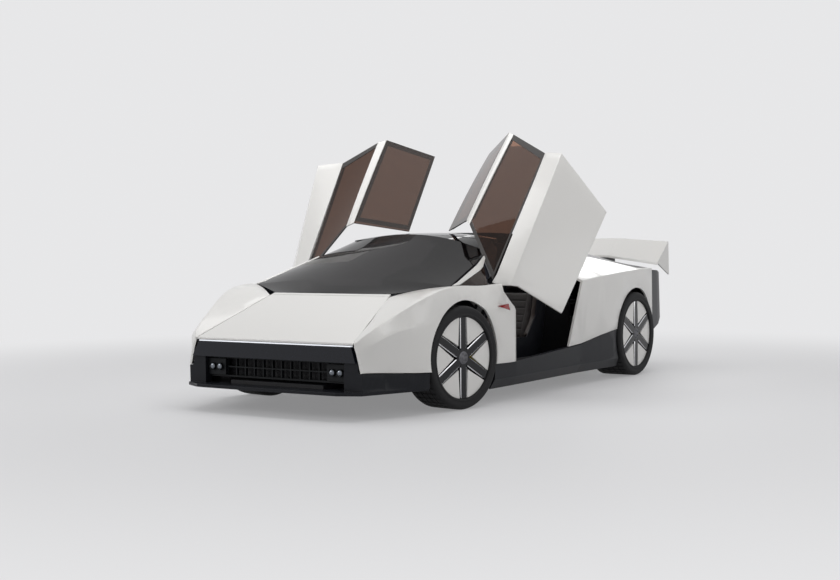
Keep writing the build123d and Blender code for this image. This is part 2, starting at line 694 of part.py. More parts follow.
for x in (floor_rear_x + 120, floor_front_x - 120):
    for y in (-tub_half + jack_pad_half, tub_half - jack_pad_half):
        tub += block((x - jack_pad_half, x + jack_pad_half), (y - jack_pad_half, y + jack_pad_half),
                     (ground_clearance - jack_pad_drop, ground_clearance + 5))
keep("tub", tub)

# Underbody. Ahead of the cabin: keel, luggage tray, and struts to the nose, the firewall and the
# cowl. Behind it: the keel under the power unit.
keel_half = 400
keel_top = splitter_low + splitter_sheet + seam
keel_sheet = 25
nose_frame_x = fx(857)
tray_front_x, tray_rear_x = fx(650), fx(130)
tray_half = 360
tray_top = 545
front_keel_x = floor_front_x + seam
front_body = block((front_keel_x, nose_frame_x), (-keel_half, keel_half), (keel_top, keel_top + keel_sheet))
tray = block((tray_rear_x, tray_front_x), (-tray_half, tray_half), (keel_top, tray_top))
tray -= block((tray_rear_x + wall_sheet, tray_front_x - wall_sheet),
              (-tray_half + wall_sheet, tray_half - wall_sheet), (keel_top + 30, tray_top + 50))
front_body += tray
strut = 50
strut_x = (tray_rear_x, tray_rear_x + wall_sheet - 6)
strut_top_x = (cowl_rear_x + 2, cowl_rear_x + 20)
strut_top_z = [hood_z(x) - cowl_depth - seam for x in strut_top_x]
for y in (-hinge_side, hinge_side):
    across_strut = (y - strut / 2, y + strut / 2)
    front_body += block((tray_front_x - 5, nose_frame_x), across_strut, (380, 470))
    front_body += block((front_keel_x, tray_rear_x + 5), across_strut, (keel_top + 5, 420))
    front_body += side_prism([
        (strut_x[0], 500), (strut_x[0], tray_top), (strut_top_x[0], strut_top_z[0]),
        (strut_top_x[1], strut_top_z[1]), (strut_x[1], tray_top), (strut_x[1], 500)], y - 20, y + 20)
rear_keel = block((tail_front_x + seam, floor_rear_x - seam), (-keel_half, keel_half),
                  (ground_clearance + 10, floor_top))
keep("underbody", front_body, rear_keel)

# Power unit: one closed block on the rear keel
drive_half = 330
drive_unit = block((rx(-260), rx(420)), (-drive_half, drive_half), (floor_top + seam, 600))
keep("drive_unit", drive_unit)

# Cabin
seat_back_x = rx(1025)          # foot of the backrest
dash_front_x, dash_rear_x = fx(-425), fx(-640)
dash = side_prism([(dash_front_x, 600), (dash_front_x, 765), (fx(-500), 815), (dash_rear_x, 800),
                   (dash_rear_x - 25, 730), (fx(-560), 640)], -sy(300), sy(300))
dash -= block((floor_front_x - firewall_sheet - seam, floor_front_x), (-tub_half, tub_half),
              (500, firewall_top + seam))
console_half = 55
console_rear_x = rx(735) + seam
console_front_x = dash_rear_x + 15
console = side_prism(
    [(console_front_x, floor_top + seam), (console_front_x, 560), (console_front_x - 75, 500),
     (seat_back_x + 250, 400), (console_rear_x, 400), (console_rear_x, floor_top + seam)],
    -console_half, console_half)
keep("dashboard", dash, console)
seat_middle = sy(613)
seat_gap = 80                   # from the console to a seat
seat_half = seat_middle - console_half - seat_gap
bolster = 62
seat_profile = [                # ahead of the backrest's foot, height
    (535, floor_top + seam), (535, 330), (475, 345), (155, 290), (-65, 900), (-125, 905), (0, 300),
    (45, floor_top + seam)]
bolster_profile = [
    (535, 250), (525, 400), (245, 400), (105, 560), (25, 840), (-115, 850), (0, 300)]


def seat_part(profile, y_low, y_high):
    return side_prism([(seat_back_x + x, z) for x, z in profile], y_low, y_high)


seats = []
for middle in (-seat_middle, seat_middle):
    seat = seat_part(seat_profile, middle - seat_half, middle + seat_half)
    for low in (middle - seat_half, middle + seat_half - bolster):
        seat += seat_part(bolster_profile, low, low + bolster)
    seats.append(seat)
keep("seats", *seats)
wheel_middle = (dash_rear_x - 195, seat_middle, 715)
grip_radius = 170
steering = Torus(grip_radius, 15) + Cylinder(42, 44)
for angle in (0, 180, 270):
    steering += Rot(0, 0, angle) * Pos(grip_radius / 2, 0, 0) * Box(grip_radius, 34, 14)
steering += Pos(0, 0, -130) * Cylinder(20, 260)
steering = Pos(*wheel_middle) * Rot(0, -80, 0) * steering
keep("steering_wheel", steering - dash)

# Suspension: subframe, hub carriers and wishbones. The front carriers steer.
kingpin_y = sy(188)
arm_height = 105
front_frame_y = 395
disc_radius = 185
disc_sheet = 28
hub_radius = 45
hub_face_y = sy(125)
rim_wall = 9


caliper_inner, caliper_outer = 118, 252
caliper_y_low, caliper_y_high = hub_face_y - 28, hub_face_y + disc_sheet + 28
caliper_half = 82
disc_clearance = 7


def axle_drum(axle_x, radius, y_low, y_high):
    """Cylinder on the axle's line between two places across the car."""
    return Pos(axle_x, (y_low + y_high) / 2, axle_height) * Rot(90, 0, 0) * Cylinder(radius, y_high - y_low)


def caliper(axle_x):
    """Brake caliper behind the axle that straddles the disc, with the lug that holds it."""
    body = axle_drum(axle_x, caliper_outer, caliper_y_low, caliper_y_high)
    body -= axle_drum(axle_x, caliper_inner, caliper_y_low - 1, caliper_y_high + 1)
    body -= axle_drum(axle_x, disc_radius + disc_clearance, hub_face_y - disc_clearance,
                      hub_face_y + disc_sheet + disc_clearance)
    body &= block((axle_x - caliper_outer, axle_x - caliper_inner + 20), (caliper_y_low, caliper_y_high),
                  (axle_height - caliper_half, axle_height + caliper_half))
    lug = block((axle_x - caliper_inner - 20, axle_x), (caliper_y_low, hub_face_y - disc_clearance),
                (axle_height - 26, axle_height + 26))
    return body + lug


def arm(x_a, y_a, x_b, y_b, z, width, height):
    """Straight flat bar from a to b in plan."""
    length = ((x_b - x_a) ** 2 + (y_b - y_a) ** 2) ** 0.5
    turn = degrees(atan2(y_b - y_a, x_b - x_a))
    return Pos((x_a + x_b) / 2, (y_a + y_b) / 2, z) * Rot(0, 0, turn) * Box(length, width, height)


def wishbone(axle_x, y_in, y_out, z, spread):
    pair = arm(axle_x + spread, y_in, axle_x, y_out, z, 30, 22)
    pair += arm(axle_x - spread, y_in, axle_x, y_out, z, 30, 22)
    return pair


front_frame = []
for level in (-1, 1):
    z = axle_height + level * arm_height
    front_frame.append(wishbone(front_axle_x, front_frame_y - 20, kingpin_y - 8, z, 105))
    front_frame.append(Pos(front_axle_x, kingpin_y, z) * Cylinder(24, 22))
frame_top = axle_height + arm_height + 30
front_side = block((front_axle_x - 140, front_axle_x + 129), (tray_half + seam, front_frame_y),
                   (keel_top + keel_sheet + seam, frame_top))
for piece in front_frame:
    front_side += piece
keep("front_suspension", *both(front_side))

rear_frame_y = keel_half + 12
rear_carrier_y = sy(250)
rear_side = block((rear_axle_x - 150, rear_axle_x + 150), (drive_half + seam, rear_frame_y),
                  (floor_top + seam, frame_top))
for level in (-1, 1):
    rear_side += wishbone(rear_axle_x, rear_frame_y - 15, rear_carrier_y + 20,
                          axle_height + level * arm_height, 115)
rear_side += block((rear_axle_x - 40, rear_axle_x + 40), (rear_carrier_y, rear_carrier_y + 45),
                   (axle_height - arm_height - 25, axle_height + arm_height + 25))
rear_side += axle_drum(rear_axle_x, 22, rear_frame_y - 10, rear_carrier_y + 5)
rear_side += axle_drum(rear_axle_x, hub_radius, rear_carrier_y, hub_face_y - running_gap)
rear_side += caliper(rear_axle_x)
keep("rear_suspension", *both(rear_side))

# Hub carrier with its brake caliper, left, wheel straight ahead
carrier_in = kingpin_y - 26


def knuckle():
    body = block((front_axle_x - 26, front_axle_x + 26), (carrier_in, kingpin_y + 26),
                 (axle_height - arm_height + 11 + running_gap, axle_height + arm_height - 11 - running_gap))
    body += axle_drum(front_axle_x, hub_radius, kingpin_y, hub_face_y - running_gap)
    return body + caliper(front_axle_x)


steer_left = Axis((front_axle_x, kingpin_y, axle_height), (0, 0, 1))
steer_right = Axis((front_axle_x, -kingpin_y, axle_height), (0, 0, 1))


def tyre(axle_x, width):
    """Low-profile tyre with rounded shoulders, on the left side."""
    outer = sy(wheel_inset)
    half = width / 2
    round_off = 26
    bead_half = half - 9
    edges = [Line((0, 0, rim_radius), (bead_half, 0, rim_radius))]
    edges.append(Line((bead_half, 0, rim_radius), (half, 0, rim_radius + 24)))
    edges.append(Line((half, 0, rim_radius + 24), (half, 0, tyre_radius - round_off)))
    edges.append(ThreePointArc((half, 0, tyre_radius - round_off),
                               (half - round_off * 0.293, 0, tyre_radius - round_off * 0.293),
                               (half - round_off, 0, tyre_radius)))
    edges.append(Line((half - round_off, 0, tyre_radius), (0, 0, tyre_radius)))
    edges.append(Line((0, 0, tyre_radius), (0, 0, rim_radius)))
    ring = revolve(Face(Wire(edges)), Axis.X)
    ring += mirror(ring, about=Plane.YZ)
    return Pos(axle_x, outer - half, axle_height) * Rot(0, 0, 90) * ring


spoke_count = 6
spoke_width = 62
spoke_sheet = 26
spoke_chamfer = 5
face_inset = 14
hub_cap_radius = 46
spoke_turn = 30                 # one spoke stands upright
lip_depth = 16                  # from the spokes' face back to the barrel's lip
aero_depth = 4                  # from the spokes' face back to the aero panels
aero_point_radius = 96          # inner point of each aero panel
aero_edge = 38                  # from a spoke's middle to the panel's corner at the rim


def rim(axle_x, width):
    """Barrel, brake disc, hub and spokes, on the left side."""
    outer = sy(wheel_inset) - face_inset
    inner = sy(wheel_inset) - width + 9
    lip = outer - lip_depth
    barrel = Pos(0, 0, (lip + inner) / 2) * Cylinder(rim_radius - seam, lip - inner)
    barrel -= Pos(0, 0, (lip + inner) / 2) * Cylinder(rim_radius - rim_wall, lip - inner + 20)
    disc = Pos(0, 0, hub_face_y + disc_sheet / 2) * Cylinder(disc_radius, disc_sheet)
    hub = Pos(0, 0, (hub_face_y + outer) / 2) * Cylinder(hub_cap_radius, outer - hub_face_y)
    spoke_length = (rim_radius ** 2 - spoke_width ** 2 / 4) ** 0.5 - seam
    bar = Box(spoke_length, spoke_width, spoke_sheet, align=(Align.MIN, Align.CENTER, Align.MAX))
    bar = chamfer(bar.edges().filter_by(Axis.X).group_by(Axis.Z)[-1], spoke_chamfer)
    wheel = barrel + hub + disc
    for i in range(spoke_count):
        wheel += Rot(0, 0, spoke_turn + 360 * i / spoke_count) * Pos(0, 0, outer) * bar
    return Pos(axle_x, 0, axle_height) * Rot(-90, 0, 0) * wheel


def aero(axle_x):
    """Flat pointed panels between the spokes, on the left side."""
    outer = sy(wheel_inset) - face_inset - aero_depth
    sheet = lip_depth - aero_depth - seam
    reach = rim_radius - 2 * seam
    turn = radians(180 / spoke_count) - asin(aero_edge / reach)
    ahead, beside = reach * cos(turn), reach * sin(turn)
    outline = [(aero_point_radius, 0), (ahead, -beside), (reach + 20, -beside), (reach + 20, beside),
               (ahead, beside)]
    panel_blank = plan_prism(outline, outer - sheet, outer)
    disc = Pos(0, 0, outer - sheet / 2) * Cylinder(reach, sheet)
    plates = []
    for i in range(spoke_count):
        plate = (Rot(0, 0, spoke_turn + 360 * (i + 0.5) / spoke_count) * panel_blank) & disc
        plates.append(Pos(axle_x, 0, axle_height) * Rot(-90, 0, 0) * plate)
    return Compound([solid for plate in plates for solid in plate.solids()])


for corner, axle_x, width in (("front", front_axle_x, front_tyre_width),
                              ("rear", rear_axle_x, rear_tyre_width)):
    pieces = {"tyre": tyre(axle_x, width), "rim": rim(axle_x, width), "aero_panels": aero(axle_x)}
    if corner == "front":
        pieces["knuckle"] = knuckle()
    for name, piece in pieces.items():
        left, right = piece, across(piece)
        if corner == "front":
            left = left.rotate(steer_left, steer_at_rest)
            right = right.rotate(steer_right, steer_at_rest)
        keep(f"{name}_{corner}_left", left)
        keep(f"{name}_{corner}_right", right)

# Pointed side lamps behind the front wheels
marker = side_prism(marker_outline, sy(marker_pocket - seam), sy(-3))
keep("side_markers", *both(marker))
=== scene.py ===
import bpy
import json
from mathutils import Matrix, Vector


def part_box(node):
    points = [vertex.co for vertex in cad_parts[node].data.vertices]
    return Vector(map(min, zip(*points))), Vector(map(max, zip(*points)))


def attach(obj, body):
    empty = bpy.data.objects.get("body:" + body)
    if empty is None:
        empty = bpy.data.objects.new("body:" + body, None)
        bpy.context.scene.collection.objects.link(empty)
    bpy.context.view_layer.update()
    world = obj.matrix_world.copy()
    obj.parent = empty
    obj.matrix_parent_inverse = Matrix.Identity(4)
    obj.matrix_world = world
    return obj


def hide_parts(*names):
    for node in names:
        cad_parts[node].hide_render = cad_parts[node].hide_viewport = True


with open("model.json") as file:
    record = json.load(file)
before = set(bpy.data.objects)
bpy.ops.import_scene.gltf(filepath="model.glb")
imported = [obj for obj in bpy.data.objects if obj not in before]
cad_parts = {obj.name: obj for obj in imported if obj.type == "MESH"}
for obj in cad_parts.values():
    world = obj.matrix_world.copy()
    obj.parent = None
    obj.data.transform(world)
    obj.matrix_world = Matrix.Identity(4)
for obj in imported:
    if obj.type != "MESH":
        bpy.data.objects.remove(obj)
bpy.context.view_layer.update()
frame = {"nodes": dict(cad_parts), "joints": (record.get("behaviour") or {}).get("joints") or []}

import json
import math

import bmesh
import bpy
from mathutils import Matrix, Vector

nodes = frame["nodes"]
scene = bpy.context.scene
scene.view_settings.view_transform = "Standard"

# Camera at standing height ahead of the car's left front corner, with a long lens, so that the
# whole car with its raised doors stands in the frame.
camera = bpy.data.objects.new("camera", bpy.data.cameras.new("camera"))
scene.collection.objects.link(camera)
scene.camera = camera
camera.data.lens = 57.48
camera.data.sensor_width = 36
camera_place = (9.06043, 5.79904, 1.12763)
camera_yaw, camera_pitch, camera_roll = 3.73243, -0.03377, -0.00865
ahead = Vector((math.cos(camera_yaw) * math.cos(camera_pitch),
                math.sin(camera_yaw) * math.cos(camera_pitch), math.sin(camera_pitch)))
level = Vector((math.sin(camera_yaw), -math.cos(camera_yaw), 0))
upright = level.cross(ahead)
frame_right = level * math.cos(camera_roll) + upright * math.sin(camera_roll)
frame_up = upright * math.cos(camera_roll) - level * math.sin(camera_roll)
turned = Matrix((frame_right, frame_up, -ahead)).transposed().to_4x4()
camera.matrix_world = Matrix.Translation(camera_place) @ turned


# Studio lamps at a plain level: a broad soft one overhead, one from the car's right front and two
# weaker ones from the left and from behind.
def soft_lamp(name, place, target, width, height, watts):
    data = bpy.data.lights.new(name, "AREA")
    data.shape = "RECTANGLE"
    data.size, data.size_y, data.energy = width, height, watts
    lamp = bpy.data.objects.new(name, data)
    lamp.location = place
    lamp.rotation_euler = (Vector(target) - Vector(place)).to_track_quat("-Z", "Y").to_euler()
    scene.collection.objects.link(lamp)


soft_lamp("overhead_lamp", (0.5, 0, 5.2), (0, 0, 0), 6.5, 3.6, 150)
soft_lamp("right_front_lamp", (7.5, -5.0, 4.0), (0.8, 0, 0.5), 4.0, 2.6, 150)
soft_lamp("left_lamp", (1.0, 8.0, 3.4), (0, 0, 0.5), 6.0, 2.4, 70)
soft_lamp("rear_lamp", (-7.5, -2.0, 3.6), (-1, 0, 0.5), 4.0, 2.4, 70)

# Pale studio air and floor. Both show their pale colour to the eye and in gloss and glass, while the
# light that they give stays low; the floor near the car keeps its shadow.
pale_colour = (0.80, 0.80, 0.81, 1)
floor_near, floor_far = 2.4, 7.5
air_light = 0.42
floor_glow_near = 0.30


def shown_rays(net):
    """1 for rays that show the studio: from the camera, off gloss, or through glass."""
    rays = net.nodes.new("ShaderNodeLightPath")
    total = rays.outputs["Is Camera Ray"]
    for name in ("Is Glossy Ray", "Is Transmission Ray"):
        larger = net.nodes.new("ShaderNodeMath")
        larger.operation = "MAXIMUM"
        net.links.new(total, larger.inputs[0])
        net.links.new(rays.outputs[name], larger.inputs[1])
        total = larger.outputs[0]
    return total


world = bpy.data.worlds.new("studio")
scene.world = world
world.use_nodes = True
air = world.node_tree
air.nodes.clear()
shown = air.nodes.new("ShaderNodeBackground")
shown.inputs["Color"].default_value = pale_colour
shown.inputs["Strength"].default_value = 1.0
given = air.nodes.new("ShaderNodeBackground")
given.inputs["Color"].default_value = pale_colour
given.inputs["Strength"].default_value = air_light
either = air.nodes.new("ShaderNodeMixShader")
air.links.new(shown_rays(air), either.inputs[0])
air.links.new(given.outputs[0], either.inputs[1])
air.links.new(shown.outputs[0], either.inputs[2])
sky = air.nodes.new("ShaderNodeOutputWorld")
air.links.new(either.outputs[0], sky.inputs[0])

floor = bpy.data.objects.new("floor", bpy.data.meshes.new("floor"))
shape = bmesh.new()
bmesh.ops.create_grid(shape, x_segments=1, y_segments=1, size=60)
shape.to_mesh(floor.data)
shape.free()
scene.collection.objects.link(floor)
floor_paint = bpy.data.materials.new("studio_floor")
floor_paint.use_nodes = True
net = floor_paint.node_tree
matt = net.nodes["Principled BSDF"]
matt.inputs["Base Color"].default_value = (0.70, 0.70, 0.71, 1)
matt.inputs["Roughness"].default_value = 0.62
where = net.nodes.new("ShaderNodeTexCoord")
distance = net.nodes.new("ShaderNodeVectorMath")
distance.operation = "LENGTH"
net.links.new(where.outputs["Object"], distance.inputs[0])
fade = net.nodes.new("ShaderNodeMapRange")
fade.interpolation_type = "SMOOTHSTEP"
fade.inputs["From Min"].default_value = floor_near
fade.inputs["From Max"].default_value = floor_far
fade.inputs["To Min"].default_value = floor_glow_near
net.links.new(distance.outputs["Value"], fade.inputs["Value"])
share = net.nodes.new("ShaderNodeMath")
share.operation = "MULTIPLY"
net.links.new(fade.outputs["Result"], share.inputs[0])
net.links.new(shown_rays(net), share.inputs[1])
glow = net.nodes.new("ShaderNodeEmission")
glow.inputs["Color"].default_value = pale_colour
either = net.nodes.new("ShaderNodeMixShader")
net.links.new(share.outputs[0], either.inputs[0])
net.links.new(matt.outputs[0], either.inputs[1])
net.links.new(glow.outputs[0], either.inputs[2])
net.links.new(either.outputs[0], net.nodes["Material Output"].inputs["Surface"])
floor.data.materials.append(floor_paint)


# Painted panels: carbon and aluminium skins in a satin pearl white, with crisp folded edges that
# are broken by a small radius. The wing, the pillars' covers and the wheels' aero panels match.
def finish(name, light, dark, grain, rough, bump=0.0, bump_grain=800, stretch=(1, 1, 1), **sockets):
    """Material whose colour and roughness drift finely over the piece, with a small relief."""
    made = bpy.data.materials.new(name)
    made.use_nodes = True
    net = made.node_tree
    shader = net.nodes["Principled BSDF"]
    where = net.nodes.new("ShaderNodeTexCoord")
    scaled = net.nodes.new("ShaderNodeMapping")
    scaled.inputs["Scale"].default_value = stretch
    net.links.new(where.outputs["Object"], scaled.inputs["Vector"])
    cloud = net.nodes.new("ShaderNodeTexNoise")
    cloud.inputs["Scale"].default_value = grain
    cloud.inputs["Detail"].default_value = 5
    net.links.new(scaled.outputs["Vector"], cloud.inputs["Vector"])
    ramp = net.nodes.new("ShaderNodeValToRGB")
    ramp.color_ramp.elements[0].position = 0.3
    ramp.color_ramp.elements[0].color = (*dark, 1)
    ramp.color_ramp.elements[1].position = 0.7
    ramp.color_ramp.elements[1].color = (*light, 1)
    net.links.new(cloud.outputs["Fac"], ramp.inputs["Fac"])
    net.links.new(ramp.outputs["Color"], shader.inputs["Base Color"])
    span = net.nodes.new("ShaderNodeMapRange")
    span.inputs["To Min"].default_value = rough[0]
    span.inputs["To Max"].default_value = rough[1]
    net.links.new(cloud.outputs["Fac"], span.inputs["Value"])
    net.links.new(span.outputs["Result"], shader.inputs["Roughness"])
    if bump:
        fine = net.nodes.new("ShaderNodeTexNoise")
        fine.inputs["Scale"].default_value = bump_grain
        fine.inputs["Detail"].default_value = 3
        net.links.new(scaled.outputs["Vector"], fine.inputs["Vector"])
        relief = net.nodes.new("ShaderNodeBump")
        relief.inputs["Strength"].default_value = bump
        relief.inputs["Distance"].default_value = 0.001
        net.links.new(fine.outputs["Fac"], relief.inputs["Height"])
        net.links.new(relief.outputs["Normal"], shader.inputs["Normal"])
    for socket, value in sockets.items():
        shader.inputs[socket.replace("_", " ")].default_value = value
    return made


def dress(material, *names):
    """Give nodes of the car their material."""
    for name in names:
        slots = nodes[name].data.materials
        slots.clear()
        slots.append(material)


def soften(width, *names, join=0.00002, fold=14):
    """Round the folded edges of nodes, from a fold's angle up."""
    for name in names:
        joined = nodes[name].modifiers.new("joined", "WELD")
        joined.merge_threshold = join
        rounded = nodes[name].modifiers.new("rounded", "BEVEL")
        rounded.width = width
        rounded.segments = 2
        rounded.limit_method = "ANGLE"
        rounded.angle_limit = math.radians(fold)
        rounded.harden_normals = True


sides = ("left", "right")
ends = ("front", "rear")
corners = [f"{end}_{side}" for end in ends for side in sides]

white = finish("pearl_white", (0.80, 0.79, 0.765), (0.76, 0.75, 0.725), 1400, (0.30, 0.38), 0.04, 2600,
               Coat_Weight=0.5, Coat_Roughness=0.10)
body_panels = ["front_fenders", "rear_quarters", "cowl", "hood", "rear_wing", "pillars",
               *[f"door_panels_{s}" for s in sides]]
dress(white, *body_panels, *[f"aero_panels_{c}" for c in corners])
soften(0.003, *body_panels[1:])
soften(0.003, "front_fenders", join=0.0005, fold=28)
soften(0.0012, *[f"aero_panels_{c}" for c in corners])

# Glass: near-black windshield that runs over the header, and bronze panes in the doors and quarters.
# All are laminated sheets, bonded to the frames behind their edges.
black_glass = finish("black_glass", (0.018, 0.016, 0.017), (0.014, 0.012, 0.013), 24, (0.01, 0.02),
                     Transmission_Weight=0.8, IOR=1.2)
bronze_glass = finish("bronze_glass", (0.105, 0.052, 0.033), (0.090, 0.044, 0.028), 24, (0.01, 0.03),
                      Transmission_Weight=0.9, IOR=1.3)
dress(black_glass, "windshield")
dress(bronze_glass, "quarter_glass", *[f"door_glass_{s}" for s in sides])

# Black body parts: roof frame, door posts and nose band in gloss, and the engine deck with its louvred
# lid and the tail in satin. The roof frame's folds stay sharp.
gloss = finish("gloss_black", (0.007, 0.009, 0.016), (0.005, 0.006, 0.010), 90, (0.08, 0.14), 0.02, 700,
               Specular_IOR_Level=0.25, Coat_Weight=0.12, Coat_Roughness=0.04)
satin_black = finish("satin_black", (0.009, 0.010, 0.015), (0.006, 0.007, 0.010), 220, (0.34, 0.46),
                     0.08, 900, Specular_IOR_Level=0.2)
gloss_nodes = ["roof_frame", "door_posts", "nose_panel"]
satin_nodes = ["rear_deck", "rear_lid", "tail_panel"]
dress(gloss, *gloss_nodes)
dress(satin_black, *satin_nodes)
soften(0.0025, *gloss_nodes[1:], *satin_nodes)

# Dark aero parts below the paint: splitter, sills and diffuser, laid up in woven carbon under a satin
# lacquer and fixed along the body's lower edge.
weave_pitch = 0.0032


def woven(name, light, dark, rough):
    """Twill of crossed flat threads on the piece's own coordinates."""
    made = bpy.data.materials.new(name)
    made.use_nodes = True
    net = made.node_tree
    shader = net.nodes["Principled BSDF"]
    where = net.nodes.new("ShaderNodeTexCoord")
    turned = net.nodes.new("ShaderNodeMapping")
    turned.inputs["Rotation"].default_value = (0.5, 0.35, 0.785)
    net.links.new(where.outputs["Object"], turned.inputs["Vector"])
    threads = net.nodes.new("ShaderNodeTexChecker")
    threads.inputs["Scale"].default_value = 1 / weave_pitch
    threads.inputs["Color1"].default_value = (*light, 1)
    threads.inputs["Color2"].default_value = (*dark, 1)
    net.links.new(turned.outputs["Vector"], threads.inputs["Vector"])
    net.links.new(threads.outputs["Color"], shader.inputs["Base Color"])
    span = net.nodes.new("ShaderNodeMapRange")
    span.inputs["To Min"].default_value = rough[0]
    span.inputs["To Max"].default_value = rough[1]
    net.links.new(threads.outputs["Fac"], span.inputs["Value"])
    net.links.new(span.outputs["Result"], shader.inputs["Roughness"])
    shader.inputs["Specular IOR Level"].default_value = 0.14
    shader.inputs["Coat Weight"].default_value = 0.03
    shader.inputs["Coat Roughness"].default_value = 0.2
    return made


carbon = woven("woven_carbon", (0.017, 0.018, 0.022), (0.007, 0.008, 0.011), (0.28, 0.42))
carbon_nodes = ["front_splitter", "sills", "diffuser"]
dress(carbon, *carbon_nodes)
soften(0.0025, *carbon_nodes)

# Structure below the skins: coated tub and underbody, moulded grille, cast drive unit, forged
# wishbones and hub carriers.
coated = finish("dark_coating", (0.020, 0.020, 0.022), (0.012, 0.012, 0.014), 240, (0.45, 0.62), 0.25, 900,
                Specular_IOR_Level=0.3)
moulded = finish("moulded_black", (0.007, 0.008, 0.010), (0.004, 0.005, 0.006), 300, (0.45, 0.6), 0.3, 1100,
                 Specular_IOR_Level=0.2)
cast = finish("cast_metal", (0.16, 0.16, 0.17), (0.11, 0.11, 0.12), 60, (0.45, 0.6), 0.5, 350, Metallic=0.9)
forged = finish("forged_metal", (0.30, 0.30, 0.31), (0.20, 0.20, 0.21), 80, (0.35, 0.5), 0.15, 400,
                Metallic=0.9)
dress(coated, "tub", "underbody")
dress(moulded, "intake_grille")
dress(cast, "drive_unit")
dress(forged, "front_suspension", "rear_suspension", *[f"knuckle_front_{s}" for s in sides])


# Wheel arch liners: thin moulded half drums between the body sides and the wishbones. The front ones
# have an inner wall over the tyre, clear of it at full lock.
def build(name, shape, material, body="root", sharp=35):
    """Finished piece from a shape: doubles merged, faces outwards, smooth up to a fold's angle."""
    bmesh.ops.remove_doubles(shape, verts=shape.verts, dist=0.000001)
    bmesh.ops.recalc_face_normals(shape, faces=shape.faces)
    mesh = bpy.data.meshes.new(name)
    shape.to_mesh(mesh)
    shape.free()
    mesh.shade_smooth()
    mesh.set_sharp_from_angle(angle=math.radians(sharp))
    mesh.materials.append(material)
    made = bpy.data.objects.new(name, mesh)
    scene.collection.objects.link(made)
    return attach(made, body)


def lathe(shape, profile, steps, place, sweep=math.tau, start=0.0):
    """Ring of (radius, across) points spun round the y axis, then put in its place."""
    old = set(shape.verts)
    points = [shape.verts.new((math.cos(start) * r, y, math.sin(start) * r)) for r, y in profile]
    edges = [shape.edges.new((a, b)) for a, b in zip(points, points[1:] + points[:1])]
    whole = sweep == math.tau
    bmesh.ops.spin(shape, geom=points + edges, cent=(0, 0, 0), axis=(0, 1, 0), dvec=(0, 0, 0),
                   angle=sweep, steps=steps, use_merge=whole)
    new = [v for v in shape.verts if v not in old]
    if not whole:
        rims = {e for v in new for e in v.link_edges if len(e.link_faces) == 1}
        bmesh.ops.holes_fill(shape, edges=list(rims), sides=0)
    bmesh.ops.transform(shape, matrix=place, verts=new)
    return new


flip = Matrix.Diagonal((1, -1, 1, 1))
joints = {joint["name"]: joint for joint in frame["joints"]}
axle_height = joints["wheel_rear_left_spin"]["pos_m"][2]
liner_inner, liner_outer, liner_sheet = 0.56, 0.895, 0.004
wall_radius, wall_inner, wall_outer = 0.340, 0.556, 0.561
shape = bmesh.new()
for end, radius in (("front", 0.408), ("rear", 0.394)):
    axle_x = joints[f"wheel_{end}_left_spin"]["pos_m"][0]
    back, rim = radius + liner_sheet, radius + 0.001
    for mirrored in (Matrix(), flip):
        at = mirrored @ Matrix.Translation((axle_x, 0, axle_height))
        lathe(shape, [(radius, liner_inner), (radius, liner_outer), (back, liner_outer), (back, liner_inner)],
              28, at, sweep=math.radians(196), start=math.radians(188))
        if end == "front":
            wall = [(wall_radius, wall_inner), (rim, wall_inner),
                    (rim, wall_outer), (wall_radius, wall_outer)]
            lathe(shape, wall, 16, at, sweep=math.radians(90), start=math.radians(135))
build("arch_liners", shape, moulded)


# Tyres: low-profile summer tyres with four grooves round the tread, cross cuts between them, and a
# raised band that guards the rim. Each is spun from its cross-section.
def wheel_place(corner):
    """From wheel coordinates, with y outboard from the car's middle, to the wheel as it stands."""
    joint = joints[f"wheel_{corner}_spin"]
    pivot, axis = Vector(joint["pos_m"]), Vector(joint["axis"])
    turn = Matrix.Rotation(math.atan2(-axis.x, axis.y), 4, "Z")
    side = flip if pivot.y < 0 else Matrix()
    return Matrix.Translation(pivot) @ turn @ Matrix.Translation((0, -pivot.y, 0)) @ side


rubber = finish("tyre_rubber", (0.018, 0.018, 0.019), (0.011, 0.011, 0.012), 260, (0.62, 0.78), 0.3, 900,
                Specular_IOR_Level=0.25)
wheel_face = 0.980
tread_radius = 0.355
tyre_steps = 176
tyre_widths = {"front": 0.265, "rear": 0.315}
groove_depth, groove_half = 0.0065, 0.0045
tyre_side = [(0.2800, 0.0105), (0.2822, 0.0045), (0.2880, 0.0012), (0.2930, 0.0), (0.2958, 0.0016),
             (0.3000, 0.0030), (0.3060, 0.0026), (0.3160, 0.0012), (0.3280, 0.0008), (0.3370, 0.0026),
             (0.3445, 0.0075), (0.3505, 0.0150), (0.3538, 0.0235)]
for corner in corners:
    width = tyre_widths[corner.split("_")[0]]
    profile = [(r, wheel_face - y) for r, y in tyre_side]
    for part in (0.24, 0.41, 0.59, 0.76):
        y = wheel_face - width * part
        for r, step in ((0, 1), (groove_depth, 0.75), (groove_depth, -0.75), (0, -1)):
            profile.append((tread_radius - 0.0004 - r, y + groove_half * step))
    profile += [(r, wheel_face - width + y) for r, y in tyre_side[::-1]]
    shape = bmesh.new()
    lathe(shape, profile, tyre_steps, Matrix())
    cuts = []
    for face in shape.faces:
        middle = face.calc_center_median()
        radius = math.hypot(middle.x, middle.z)
        step = int(math.atan2(middle.z, middle.x) / math.tau * tyre_steps + tyre_steps)
        if radius > 0.3535 and step % 4 == 0:
            cuts.append(face)
    bmesh.ops.inset_individual(shape, faces=cuts, thickness=0.0022, depth=-0.005,
                               use_even_offset=True)
    bmesh.ops.transform(shape, matrix=wheel_place(corner), verts=shape.verts)
    tyre = build(f"tread_{corner}", shape, rubber, f"wheel_{corner}")
    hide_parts(f"tyre_{corner}")


